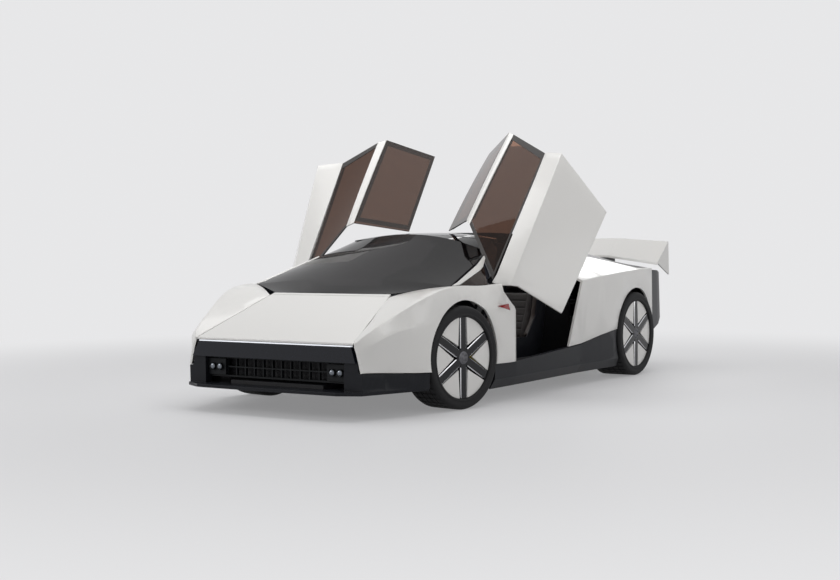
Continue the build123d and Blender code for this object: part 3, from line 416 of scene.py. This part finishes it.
# Rims: gloss black with six flat spokes whose edges are cut bright, a centre cap with five bolts,
# and white aero panels between the spokes.
def bar(shape, size, place, edge=0.0):
    """Block with rounded edges, added to a shape."""
    old = set(shape.verts)
    made = bmesh.ops.create_cube(shape, size=1.0)["verts"]
    bmesh.ops.scale(shape, vec=size, verts=made)
    if edge:
        bmesh.ops.bevel(shape, geom=list({e for v in made for e in v.link_edges}), offset=edge,
                        offset_type="OFFSET", segments=2, profile=0.5, affect="EDGES", material=-1)
    bmesh.ops.transform(shape, matrix=place, verts=[v for v in shape.verts if v not in old])


def turn_about_axle(degrees):
    return Matrix.Rotation(math.radians(degrees), 4, "Y")


rim_black = finish("rim_black", (0.009, 0.010, 0.012), (0.006, 0.006, 0.008), 120, (0.12, 0.20), 0.05, 600,
                   Specular_IOR_Level=0.25, Coat_Weight=0.12)
bright_cut = finish("bright_cut", (0.72, 0.72, 0.74), (0.62, 0.62, 0.64), 90, (0.18, 0.30), 0.1, 900,
                    stretch=(1, 6, 1), Metallic=1.0)
dress(rim_black, *[f"rim_{c}" for c in corners])
spoke_count = 6
spoke_half = 0.031
spoke_face = 0.966
spoke_edge = 0.005
spoke_turn = 30
edge_start, edge_end = 0.066, 0.274
for corner in corners:
    place = wheel_place(corner)
    shape = bmesh.new()
    for i in range(spoke_count):
        for side in (-1, 1):
            middle = (edge_start + edge_end) / 2
            tilt = Matrix.Rotation(math.radians(45 * side), 4, "X")
            beside = side * (spoke_half - spoke_edge / 2)
            at = Matrix.Translation((middle, spoke_face - spoke_edge / 2, beside)) @ tilt
            bar(shape, (edge_end - edge_start, 0.0016, 0.0072),
                place @ turn_about_axle(spoke_turn + 360 / spoke_count * i) @ at, 0.0004)
    build(f"spoke_edges_{corner}", shape, bright_cut, f"wheel_{corner}")
    shape = bmesh.new()
    lathe(shape, [(0, 0.974), (0.014, 0.974), (0.017, 0.971), (0.022, 0.9695), (0.040, 0.9690),
                  (0.0455, 0.965), (0.0470, 0.958), (0.0470, 0.950), (0, 0.950)], 48, place)
    for i in range(5):
        at = turn_about_axle(72 * i) @ Matrix.Translation((0.031, 0, 0))
        lathe(shape, [(0, 0.9745), (0.0045, 0.9745), (0.0060, 0.973), (0.0060, 0.967), (0, 0.967)], 6,
              place @ at)
    build(f"centre_cap_{corner}", shape, cast, f"wheel_{corner}")

# Brakes: vented steel discs with their hats, bolted to the hubs, and painted ochre calipers behind the
# axle that straddle them. The front calipers steer with their knuckles.
steel = finish("disc_steel", (0.52, 0.52, 0.53), (0.42, 0.42, 0.43), 50, (0.25, 0.38), 0.3, 700,
               Metallic=1.0)
ochre = finish("caliper_ochre", (0.52, 0.40, 0.045), (0.44, 0.33, 0.035), 70, (0.28, 0.4), 0.2, 500,
               Coat_Weight=0.4)
disc_low, disc_high = 0.8626, 0.8914
for corner in corners:
    place = wheel_place(corner)
    shape = bmesh.new()
    lathe(shape, [(0.104, disc_low), (0.184, disc_low), (0.1856, disc_low + 0.002), (0.1856, 0.8730),
                  (0.178, 0.8730), (0.178, 0.8810), (0.1856, 0.8810), (0.1856, disc_high - 0.002),
                  (0.184, disc_high), (0.104, disc_high)], 96, place)
    lathe(shape, [(0.046, 0.8640), (0.103, 0.8640), (0.103, 0.8990), (0.098, 0.9040), (0.046, 0.9040)],
          48, place)
    build(f"brake_disc_{corner}", shape, steel, f"wheel_{corner}")
    shape = bmesh.new()
    lathe(shape, [(0.120, 0.8330), (0.250, 0.8330), (0.256, 0.8390), (0.256, 0.9150), (0.250, 0.9210),
                  (0.120, 0.9210), (0.116, 0.9170), (0.116, 0.8990), (0.193, 0.8990), (0.193, 0.8550),
                  (0.116, 0.8550), (0.116, 0.8370)], 14, place,
          sweep=math.radians(44), start=math.radians(202))
    for i in range(3):
        at = turn_about_axle(167 + 13 * i) @ Matrix.Translation((0.168, 0.9215, 0))
        bar(shape, (0.085, 0.005, 0.012), place @ at, 0.0015)
    body = f"knuckle_{corner[6:]}" if corner.startswith("front") else "root"
    build(f"caliper_{corner}", shape, ochre, body)

# Power unit's cover: a cast plate on the closed unit, with cooling fins between two rails, two round
# housings at its front and bolts along its edge. It shows when the louvred lid stands open.
upright_turn = Matrix.Rotation(math.radians(90), 4, "X")
unit_low, unit_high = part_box("drive_unit")
cover_middle, cover_top = (unit_low.x + unit_high.x) / 2, unit_high.z + 0.027
shape = bmesh.new()
bar(shape, (0.620, 0.560, 0.030), Matrix.Translation((cover_middle, 0, unit_high.z + 0.012)), 0.006)
cooling_fin_pitch, bolt_pitch = 0.034, 0.0965
for i in range(12):
    at = Matrix.Translation((unit_low.x + 0.06 + cooling_fin_pitch * i, 0, cover_top + 0.014))
    bar(shape, (0.006, 0.420, 0.032), at, 0.002)
for y in (-0.226, 0.226):
    bar(shape, (0.440, 0.030, 0.036), Matrix.Translation((unit_low.x + 0.247, y, cover_top + 0.016)), 0.006)
for y in (-0.130, 0.130):
    at = Matrix.Translation((unit_high.x - 0.120, y, cover_top - 0.002)) @ upright_turn
    lathe(shape, [(0, 0.052), (0.030, 0.052), (0.036, 0.046), (0.060, 0.046), (0.070, 0.038),
                  (0.074, 0.006), (0.090, 0.003), (0.090, 0), (0, 0)], 44, at)
for i in range(7):
    for y in (-0.264, 0.264):
        at = Matrix.Translation((unit_low.x + 0.050 + bolt_pitch * i, y, cover_top)) @ upright_turn
        lathe(shape, [(0, 0.008), (0.006, 0.008), (0.0075, 0.0065), (0.0075, -0.001), (0, -0.001)], 6, at)
build("drive_cover", shape, cast)

# Luggage mat: a piece of needled carpet, cut to the tray under the hood and laid loose on its floor.
# Its edges are slightly rounded.
carpet = finish("needled_carpet", (0.034, 0.032, 0.032), (0.018, 0.017, 0.018), 1500, (0.9, 1.0), 0.9, 1900,
                Sheen_Weight=0.4, Specular_IOR_Level=0.1)
shape = bmesh.new()
bar(shape, (0.474, 0.674, 0.007), Matrix.Translation((1.690, 0, 0.2210)), 0.0025)
build("luggage_mat", shape, carpet)

# Tail louvres: two rows of moulded slats on upright bars, in the gap between the tail's lower edge and
# the diffuser's plate.
slat_pitch, slat_lean = 0.029, 38
shape = bmesh.new()
for low, high in ((-0.678, -0.020), (-0.010, 0.678)):
    for i in range(5):
        at = Matrix.Translation((-2.100 + 0.002 * i, (low + high) / 2, 0.250 + slat_pitch * i))
        lean = Matrix.Rotation(math.radians(slat_lean), 4, "Y")
        bar(shape, (0.026, high - low, 0.0045), at @ lean, 0.0015)
    for part in (0.25, 0.5, 0.75):
        at = Matrix.Translation((-2.094, low + (high - low) * part, 0.309))
        bar(shape, (0.014, 0.006, 0.158), at, 0.0015)
build("tail_louvres", shape, moulded)

# Radiator: a flat core of thin tubes and fins between two end tanks, which are fixed to the back of
# the grille's frame. It closes the view through the grille.
grille_low, grille_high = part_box("intake_grille")
core_half, core_middle, core_height = grille_high.y - 0.014, (grille_low.z + grille_high.z) / 2, 0.132
tube_count, tube_pitch = 13, 0.010
fin_count, fin_pitch = 58, 0.0205
shape = bmesh.new()
at = Matrix.Translation((grille_low.x - 0.020, 0, core_middle))
bar(shape, (0.008, 2 * core_half, core_height), at, 0.001)
for i in range(tube_count):
    at = Matrix.Translation((grille_low.x - 0.0145, 0, core_middle + tube_pitch * (i - (tube_count - 1) / 2)))
    bar(shape, (0.004, 2 * core_half, 0.003), at, 0.0008)
for i in range(fin_count):
    at = Matrix.Translation((grille_low.x - 0.0150, fin_pitch * (i - (fin_count - 1) / 2), core_middle))
    bar(shape, (0.0025, 0.0012, 0.126), at, 0.0003)
for y in (-core_half - 0.006, core_half + 0.006):
    at = Matrix.Translation((grille_low.x - 0.0124, y, core_middle))
    bar(shape, (0.0254, 0.013, core_height), at, 0.003)
build("radiator", shape, coated)

# Cabin trim: soft moulded dash and console, with a long glass display across the dash, air vents
# below it, and a plate with a round selector on the console.
soft_trim = finish("cabin_trim", (0.040, 0.036, 0.035), (0.028, 0.025, 0.024), 180, (0.55, 0.7), 0.6, 520)
display = finish("display_glass", (0.010, 0.012, 0.016), (0.006, 0.007, 0.010), 12, (0.03, 0.07),
                 Coat_Weight=0.8)
satin = finish("satin_metal", (0.42, 0.40, 0.38), (0.34, 0.32, 0.31), 160, (0.28, 0.42), 0.12, 900,
               Metallic=1.0)
dress(soft_trim, "dashboard", *[f"door_inner_{s}" for s in sides])
dash_tilt = Matrix.Rotation(math.radians(19.7), 4, "Y")
shape = bmesh.new()
bar(shape, (0.010, 1.18, 0.062), Matrix.Translation((0.6435, 0, 0.766)) @ dash_tilt, 0.0035)
build("dash_display", shape, display)
shape = bmesh.new()
for middle, width in ((-0.46, 0.34), (0.62, 0.09), (0.0, 0.20)):
    for i in range(5):
        at = Matrix.Translation((0.6660 + 0.0130 * i, middle, 0.7000 - 0.0115 * i))
        bar(shape, (0.0035, width, 0.0140), at @ Matrix.Rotation(math.radians(-30), 4, "Y"), 0.001)
build("dash_vents", shape, satin)
shape = bmesh.new()
slope = Matrix.Translation((0.30, 0, 0.4630)) @ Matrix.Rotation(math.radians(-7.35), 4, "Y")
bar(shape, (0.34, 0.086, 0.008), slope, 0.003)
build("console_plate", shape, display)
shape = bmesh.new()
lathe(shape, [(0, 0.022), (0.016, 0.022), (0.0195, 0.019), (0.0205, 0.004), (0.0235, 0.003),
              (0.0235, 0), (0, 0)], 40, slope @ Matrix.Translation((0.04, 0, 0.003)) @ upright_turn)
for x in (-0.05, -0.095, 0.115):
    bar(shape, (0.030, 0.050, 0.005), slope @ Matrix.Translation((x, 0, 0.005)), 0.0015)
build("console_controls", shape, satin)

# Pedals: two metal pads with three raised treads each, on stalks that hang from brackets on the
# firewall in the left footwell.
firewall_face = 0.840
pedal_lean = 18
shape = bmesh.new()
for across_well, width, height in ((0.300, 0.050, 0.110), (0.410, 0.078, 0.064)):
    lean = Matrix.Rotation(math.radians(-pedal_lean), 4, "Y")
    pad = Matrix.Translation((0.770, across_well, 0.290)) @ lean
    bar(shape, (0.008, width, height), pad, 0.003)
    for i in range(3):
        bar(shape, (0.003, width * 0.8, 0.006), pad @ Matrix.Translation((-0.005, 0, 0.018 * (i - 1))), 0.001)
    stalk_lean = Matrix.Rotation(math.radians(pedal_lean), 4, "Y")
    stalk = Matrix.Translation((0.808, across_well, 0.395)) @ stalk_lean
    bar(shape, (0.009, 0.016, 0.240), stalk, 0.003)
    bracket = Matrix.Translation((firewall_face - 0.010, across_well, 0.505))
    bar(shape, (0.030, 0.050, 0.040), bracket, 0.005)
build("pedals", shape, satin)

# Seats: fixed-back shells of woven carbon on two floor rails. Leather pads are glued into them: a
# cushion, a backrest with sewn channels, a headrest, and bolsters at thigh and shoulder.
seat_foot, seat_middle = -0.425, 0.375


def plate(shape, outline, low, high, edge=0.0, rings=2, middle=seat_middle):
    """Side outline of (ahead of the seat's foot, height), drawn across from low to high off a middle."""
    old = set(shape.verts)
    face = shape.faces.new([shape.verts.new((seat_foot + x, middle + low, z)) for x, z in outline])
    drawn = bmesh.ops.extrude_face_region(shape, geom=[face])["geom"]
    moved = [v for v in drawn if isinstance(v, bmesh.types.BMVert)]
    bmesh.ops.translate(shape, verts=moved, vec=(0, high - low, 0))
    new = [v for v in shape.verts if v not in old]
    bmesh.ops.recalc_face_normals(shape, faces=list({f for v in new for f in v.link_faces}))
    if edge:
        bmesh.ops.bevel(shape, geom=list({e for v in new for e in v.link_edges}), offset=edge,
                        offset_type="OFFSET", segments=rings, profile=0.5, affect="EDGES", material=-1)


def mirror_seat(shape):
    """Mirror everything about the left seat's middle, kept beside the original."""
    copied = bmesh.ops.duplicate(shape, geom=shape.verts[:] + shape.edges[:] + shape.faces[:])["geom"]
    across = Matrix.Translation((0, seat_middle, 0)) @ flip @ Matrix.Translation((0, -seat_middle, 0))
    points = [v for v in copied if isinstance(v, bmesh.types.BMVert)]
    bmesh.ops.transform(shape, matrix=across, verts=points)
    bmesh.ops.reverse_faces(shape, faces=[f for f in copied if isinstance(f, bmesh.types.BMFace)])


def both_seats(name, shape, material, sharp=35):
    """The left seat's piece and its mirror image for the right seat."""
    other = shape.copy()
    bmesh.ops.transform(other, matrix=flip, verts=other.verts)
    made = [build(f"{name}_left", shape, material, sharp=sharp),
            build(f"{name}_right", other, material, sharp=sharp)]
    for piece in made:
        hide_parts("seats")
    return made


shell_outline = [(0.530, 0.206), (0.530, 0.256), (0.160, 0.226), (0.092, 0.278), (-0.090, 0.866),
                 (-0.098, 0.896), (-0.122, 0.900), (-0.002, 0.300), (0.046, 0.206)]
wing_outline = [(0.531, 0.224), (0.521, 0.396), (0.243, 0.396), (0.102, 0.555), (0.023, 0.836),
                (-0.112, 0.845), (0.000, 0.300), (0.044, 0.224)]
shape = bmesh.new()
plate(shape, shell_outline, -0.226, 0.226, 0.005)
for low in (-0.238, 0.227):
    plate(shape, wing_outline, low, low + 0.011, 0.0035)
both_seats("seat_shell", shape, carbon)
shape = bmesh.new()
for across_seat in (-0.185, 0.185):
    at = Matrix.Translation((seat_foot + 0.285, seat_middle + across_seat, 0.137))
    bar(shape, (0.46, 0.034, 0.022), at, 0.003)
    for ahead_foot in (0.10, 0.46):
        at = Matrix.Translation((seat_foot + ahead_foot, seat_middle + across_seat, 0.176))
        bar(shape, (0.05, 0.022, 0.064), at, 0.003)
both_seats("seat_rails", shape, satin)

leather = finish("seat_leather", (0.062, 0.047, 0.040), (0.042, 0.032, 0.028), 34, (0.42, 0.58), 0.7, 620)
suede = finish("seat_suede", (0.050, 0.044, 0.042), (0.034, 0.030, 0.029), 900, (0.82, 0.92), 0.4, 2400,
               Sheen_Weight=0.35)
voxel = 0.006
cover_frames = 20


def stuffed(name, shape, cap):
    """Closed foam form in its cover: evenly divided, then swollen by air pressure up to a cap."""
    mesh = bpy.data.meshes.new(name)
    shape.to_mesh(mesh)
    shape.free()
    pad = bpy.data.objects.new(name, mesh)
    scene.collection.objects.link(pad)
    even = pad.modifiers.new("even", "REMESH")
    even.mode = "VOXEL"
    even.voxel_size = voxel
    form = bpy.data.meshes.new_from_object(pad.evaluated_get(bpy.context.evaluated_depsgraph_get()))
    pad.modifiers.clear()
    pad.data = form
    before = [v.co.copy() for v in form.vertices]
    cloth = pad.modifiers.new("cover", "CLOTH")
    cloth.settings.use_pressure = True
    cloth.settings.uniform_pressure_force = 4
    cloth.settings.effector_weights.gravity = 0
    cloth.point_cache.frame_start, cloth.point_cache.frame_end = 1, cover_frames
    for step in range(1, cover_frames + 1):
        scene.frame_set(step)
    form = bpy.data.meshes.new_from_object(pad.evaluated_get(bpy.context.evaluated_depsgraph_get()))
    for vertex, old in zip(form.vertices, before):
        moved = vertex.co - old
        if moved.length > cap:
            vertex.co = old + moved.normalized() * cap
    scene.frame_set(1)
    bpy.data.objects.remove(pad)
    swollen = bmesh.new()
    swollen.from_mesh(form)
    for step in range(2):
        bmesh.ops.smooth_vert(swollen, verts=swollen.verts, factor=0.5, use_axis_x=True, use_axis_y=True,
                              use_axis_z=True)
    return swollen


def sew(shape, along, facing, lines, seams, channel_half):
    """Sink sewn channels across a pad's middle panel, and the two long seams that bound it."""
    along, facing = Vector(along).normalized(), Vector(facing).normalized()
    shape.normal_update()
    for vertex in shape.verts:
        toward = max(0.0, vertex.normal.dot(facing))
        aside = abs(vertex.co.y - seat_middle)
        place_along = vertex.co.dot(along)
        near = min(abs(place_along - line) for line in lines)
        sink = 0.0055 * math.exp(-(near / 0.0060) ** 2) * (aside < channel_half)
        for seam in seams:
            sink = max(sink, 0.0045 * math.exp(-((aside - seam) / 0.0050) ** 2))
        vertex.co -= facing * sink * min(1.0, toward * 1.6)


def finer_cover(pad):
    """One finer level on a pad's cover."""
    finer = pad.modifiers.new("finer", "SUBSURF")
    finer.levels = finer.render_levels = 1


def pads(name, shape, material):
    """The left seat's pad and its mirror image for the right seat."""
    for piece in both_seats(name, shape, material, sharp=80):
        finer_cover(piece)


back_foot = (0.150, 0.300)
back_up, back_ahead = (-0.335, 0, 0.942), (0.942, 0, 0.335)
pad_half, seam_half, channel_half = 0.166, 0.108, 0.105
bolster_low, bolster_high = 0.178, 0.221


def on_back(height, depth):
    """Point up the backrest's front line, then back into the pad."""
    ahead_foot = back_foot[0] + back_up[0] * height - back_ahead[0] * depth
    return (ahead_foot, back_foot[1] + back_up[2] * height - back_ahead[2] * depth)


shape = bmesh.new()
plate(shape, [(0.165, 0.238), (0.500, 0.266), (0.524, 0.286), (0.518, 0.320), (0.478, 0.333),
              (0.165, 0.281)], -pad_half, pad_half, 0.016, 3)
shape = stuffed("cushion", shape, 0.010)
sewn = [seat_foot + x for x in (0.215, 0.275, 0.335, 0.395, 0.455)]
sew(shape, (1, 0, 0), (0, 0, 1), sewn, (seam_half,), channel_half)
pads("seat_cushion", shape, suede)
shape = bmesh.new()
plate(shape, [on_back(0.035, 0.014), on_back(0.10, -0.002), on_back(0.18, -0.002), on_back(0.30, 0.010),
              on_back(0.465, 0.008), on_back(0.476, 0.024), on_back(0.470, 0.040), on_back(0.030, 0.056)],
      -pad_half, pad_half, 0.013, 3)
shape = stuffed("backrest", shape, 0.010)
foot = Vector((seat_foot + back_foot[0], 0, back_foot[1])).dot(Vector(back_up).normalized())
sewn = [foot + s for s in (0.09, 0.15, 0.21, 0.27, 0.33, 0.39)]
sew(shape, back_up, back_ahead, sewn, (seam_half,), channel_half)
pads("seat_backrest", shape, suede)
shape = bmesh.new()
plate(shape, [on_back(0.500, 0.010), on_back(0.515, 0.000), on_back(0.600, -0.002), on_back(0.615, 0.012),
              on_back(0.612, 0.036), on_back(0.496, 0.038)], -0.115, 0.115, 0.010, 3)
pads("seat_headrest", stuffed("headrest", shape, 0.008), leather)
shape = bmesh.new()
plate(shape, [(0.252, 0.262), (0.516, 0.270), (0.506, 0.386), (0.256, 0.386)],
      bolster_low, bolster_high, 0.016, 3)
shape = stuffed("thigh", shape, 0.006)
mirror_seat(shape)
pads("seat_thigh_bolsters", shape, leather)
shape = bmesh.new()
plate(shape, [(0.210, 0.402), (0.098, 0.548), (0.016, 0.824), (-0.084, 0.832), (-0.004, 0.420),
              (0.064, 0.330), (0.170, 0.330)], bolster_low, bolster_high, 0.016, 3)
shape = stuffed("shoulder", shape, 0.006)
mirror_seat(shape)
pads("seat_back_bolsters", shape, leather)

# Console lid: a small leather pad over foam between the seats, stuffed like theirs and laid on the
# console's rear end.
shape = bmesh.new()
plate(shape, [(-0.030, 0.405), (0.225, 0.405), (0.232, 0.418), (0.215, 0.430), (-0.020, 0.430),
              (-0.036, 0.418)], -0.046, 0.046, 0.008, 3, middle=0.0)
lid_pad = build("console_pad", stuffed("lid", shape, 0.005), leather, sharp=80)
finer_cover(lid_pad)

# Steering wheel: a leather grip with three metal spoke covers and a round metal boss, before the left
# seat. The column enters the dash.
dress(leather, "steering_wheel")
wheel_at = Matrix.Translation((0.465, seat_middle, 0.715)) @ Matrix.Rotation(math.radians(-80), 4, "Y")
shape = bmesh.new()
lathe(shape, [(0, 0.031), (0.030, 0.031), (0.040, 0.027), (0.0445, 0.020), (0.0445, 0.012), (0, 0.012)],
      48, wheel_at @ upright_turn)
for angle in (0, 180, 270):
    at = wheel_at @ Matrix.Rotation(math.radians(angle), 4, "Z") @ Matrix.Translation((0.100, 0, 0.0085))
    bar(shape, (0.105, 0.020, 0.005), at, 0.0018)
build("steering_spokes", shape, satin)

# Door trims: a leather armrest that is also the pull, a round loudspeaker grille with its ring, a thin
# metal line and a metal handle. They sit on the inner panel and swing with the door.
door_angle = 67.1
speaker_at = Matrix.Translation((0.44, 0.892, 0.470)) @ Matrix.Rotation(math.pi, 4, "Z")


def door_place(side):
    """From the closed left door's place to where a door stands open."""
    joint = joints[f"door_{side}_swing"]
    pivot, axis = Vector(joint["pos_m"]), Vector(joint["axis"])
    turn = Matrix.Rotation(math.radians(door_angle), 4, axis)
    mirrored = Matrix() if side == "left" else flip
    return Matrix.Translation(pivot) @ turn @ Matrix.Translation(-pivot) @ mirrored


for side in sides:
    place = door_place(side)
    shape = bmesh.new()
    bar(shape, (0.50, 0.052, 0.058), place @ Matrix.Translation((0.16, 0.880, 0.560)), 0.016)
    build(f"door_armrest_{side}", shape, leather, f"door_{side}")
    shape = bmesh.new()
    bar(shape, (0.86, 0.006, 0.006), place @ Matrix.Translation((0.06, 0.894, 0.665)), 0.0015)
    lathe(shape, [(0.070, 0.010), (0.078, 0.010), (0.080, 0.004), (0.080, -0.004), (0.070, -0.004)], 56,
          place @ speaker_at)
    bar(shape, (0.110, 0.010, 0.020), place @ Matrix.Translation((0.30, 0.892, 0.725)), 0.004)
    build(f"door_trim_{side}", shape, satin, f"door_{side}")
    shape = bmesh.new()
    lathe(shape, [(0, 0.007), (0.040, 0.006), (0.0705, 0.002), (0.0705, -0.003), (0, -0.003)], 48,
          place @ speaker_at)
    build(f"door_speaker_{side}", shape, moulded, f"door_{side}")

# Lamps: white strip under the hood's edge, lamp pods in the intake's corners with two crowned
# lenses each in their bezels, red side markers, and a red bar across the tail with a thin bright core.
lamp_white = finish("lamp_white", (0.86, 0.88, 0.91), (0.80, 0.82, 0.85), 60, (0.08, 0.14),
                    Coat_Weight=0.5, Emission_Strength=0.6, Emission_Color=(0.9, 0.93, 1, 1))
lamp_red = finish("lamp_red", (0.36, 0.008, 0.009), (0.26, 0.005, 0.006), 60, (0.10, 0.16),
                  Coat_Weight=0.25)
lens_clear = finish("lens_clear", (0.20, 0.22, 0.25), (0.14, 0.155, 0.18), 420, (0.04, 0.10),
                    Metallic=0.7, Coat_Weight=0.5, Coat_Roughness=0.02)
dress(lamp_white, "light_strip")
dress(moulded, "headlamps")
dress(lamp_red, "side_markers", "tail_lamps")
lens_face, lens_height, lenses_out = 2.1793, 0.3018, (0.486, 0.550)
along_car = Matrix.Rotation(math.radians(-90), 4, "Z")
shape = bmesh.new()
rings = bmesh.new()
for side in (-1, 1):
    for out in lenses_out:
        at = Matrix.Translation((lens_face, side * out, lens_height)) @ along_car
        lathe(shape, [(0, 0.0065), (0.008, 0.0058), (0.015, 0.0034), (0.0195, 0), (0.0195, -0.002),
                      (0, -0.002)], 32, at)
        lathe(rings, [(0.0200, 0.0015), (0.0225, 0.0040), (0.0250, 0.0015), (0.0254, -0.012),
                      (0.0200, -0.002)], 40, at)
build("headlamp_lenses", shape, lens_clear)
build("headlamp_bezels", rings, rim_black)
shape = bmesh.new()
bar(shape, (0.004, 1.50, 0.0035), Matrix.Translation((-2.2512, 0, 0.7590)), 0.001)
tail_glow = finish("tail_glow", (0.75, 0.03, 0.025), (0.65, 0.02, 0.02), 60, (0.1, 0.2),
                   Emission_Strength=0.5, Emission_Color=(1, 0.04, 0.03, 1))
build("tail_light_core", shape, tail_glow)
